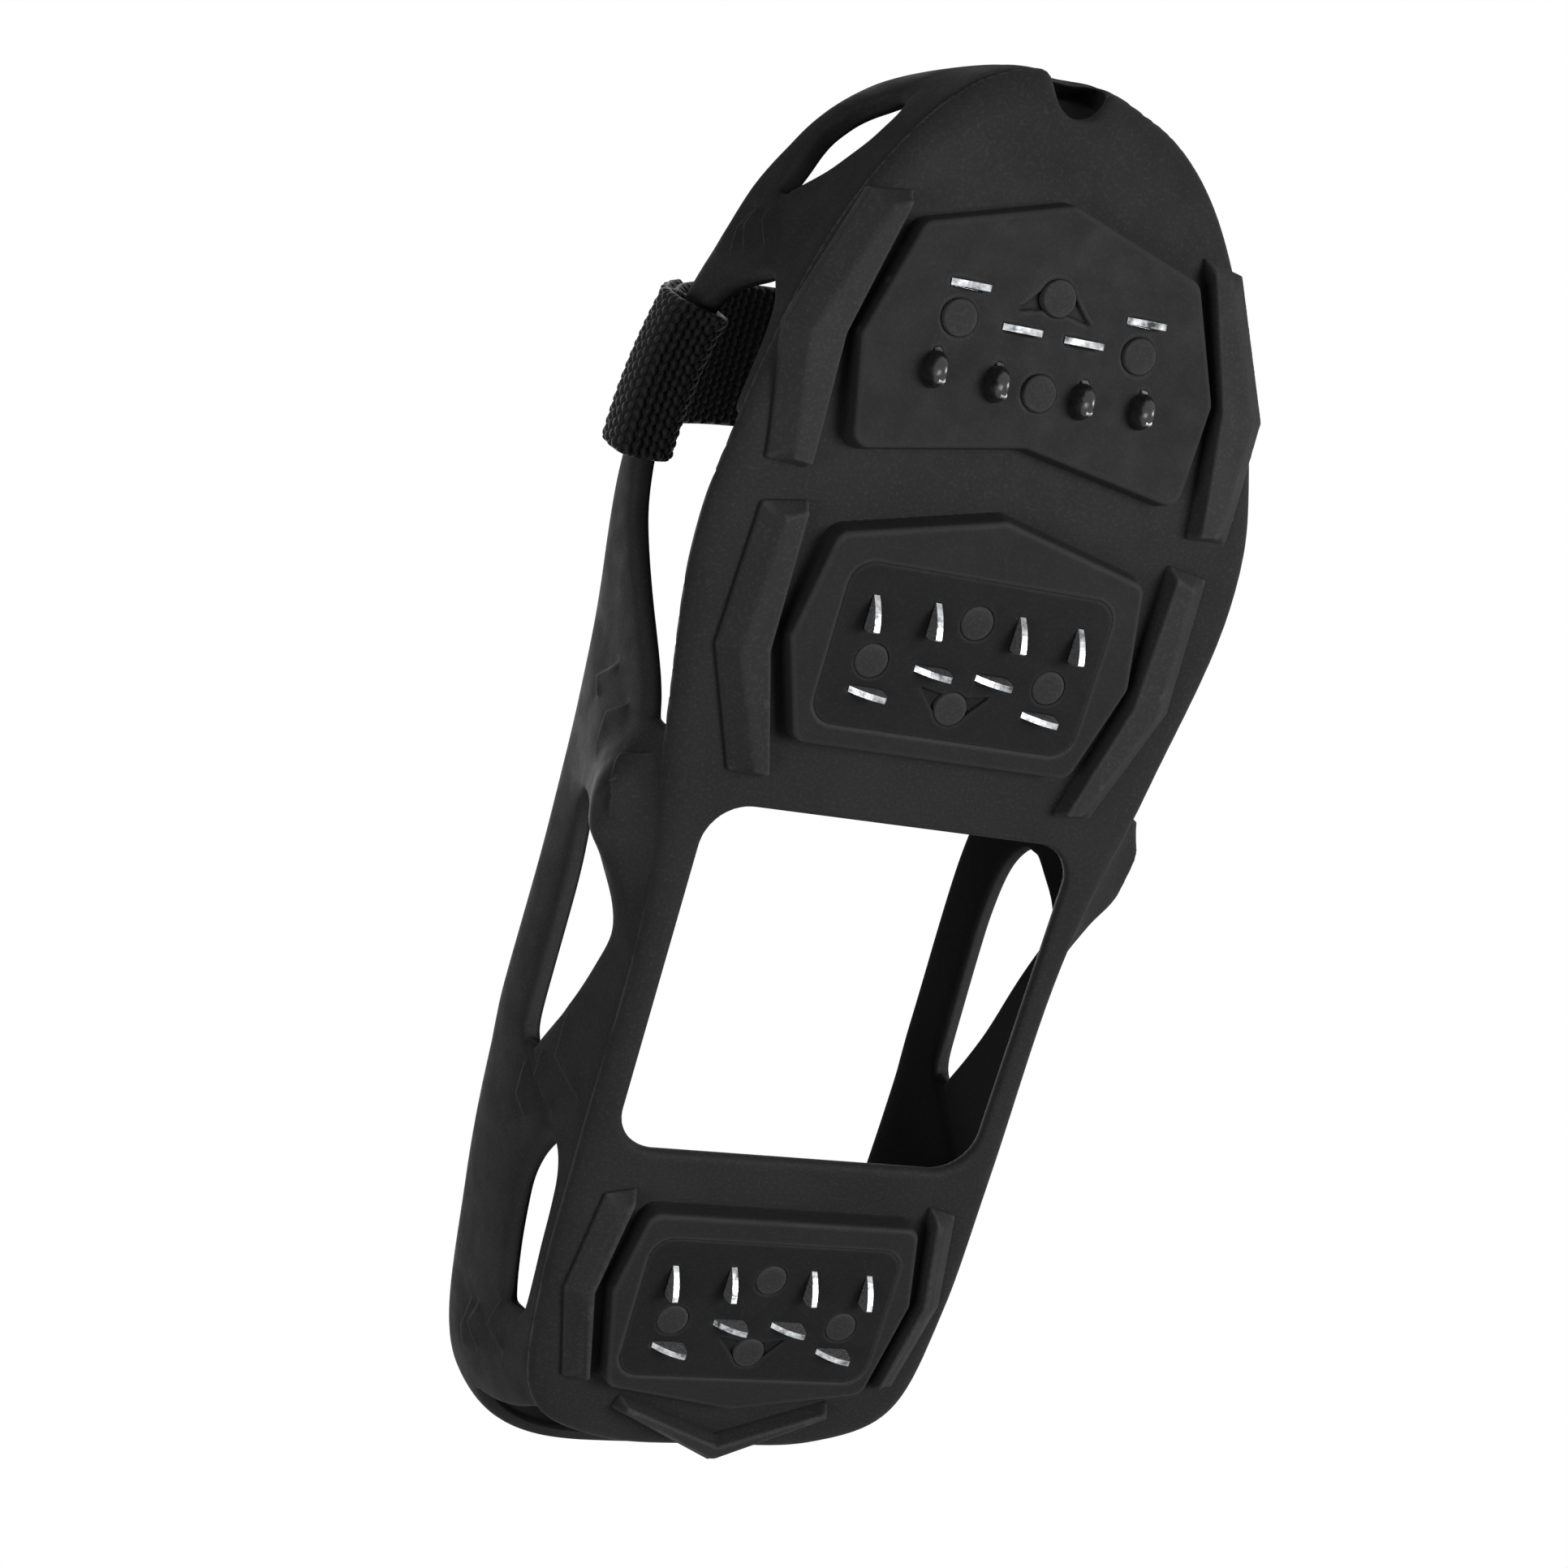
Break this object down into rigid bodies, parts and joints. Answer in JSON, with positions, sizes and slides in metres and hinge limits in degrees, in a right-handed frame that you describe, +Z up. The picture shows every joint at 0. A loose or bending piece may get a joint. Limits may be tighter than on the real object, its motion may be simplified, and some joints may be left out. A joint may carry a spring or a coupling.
{
  "type": "ice cleat",
  "caption": "Slip-on ice cleat: stretch rubber overshoe with an open arch, raised lugs, studded pads holding stamped steel teeth, and a webbing instep strap.",
  "frame": {"origin": "on the ground plane that the steel teeth stand on, at the middle of the overall length and width", "axes": "+X to the wearer's right, +Y to the toe, +Z up"},
  "size_m": [0.125, 0.3159, 0.096],
  "materials": {
    "shell_rubber": "matte charcoal moulded rubber",
    "pad_rubber": "matte black hard rubber",
    "cleat_steel": "stamped bare steel with bright cut edges",
    "webbing": "woven black webbing",
    "hook_and_loop": "black hook and loop tape"
  },
  "bodies": {
    "harness": {"outsole": "shell_rubber", "upper_toe": "shell_rubber", "upper_right": "shell_rubber", "upper_left": "shell_rubber", "upper_heel": "shell_rubber", "toe_pad": "pad_rubber", "ball_pad": "pad_rubber", "heel_pad": "pad_rubber", "toe_cover": "pad_rubber", "ball_cover": "pad_rubber", "heel_cover": "pad_rubber", "toe_cleat_plate": "cleat_steel", "ball_cleat_plate": "cleat_steel", "heel_cleat_plate": "cleat_steel", "toe_plugs": "pad_rubber", "ball_plugs": "pad_rubber", "heel_plugs": "pad_rubber", "strap_anchor": "webbing", "strap_turn": "webbing", "instep_strap": "webbing", "loop_patch": "hook_and_loop"},
    "strap_tail": {"strap_tail": "webbing", "hook_patch": "hook_and_loop"}
  },
  "joints": [
    {"name": "tail_peel", "type": "hinge", "parent": "harness", "child": "strap_tail", "pos_m": [-0.05811, 0.0854, 0.06088], "axis": [0, -1, 0], "range_deg": [0, 120]}
  ]
}
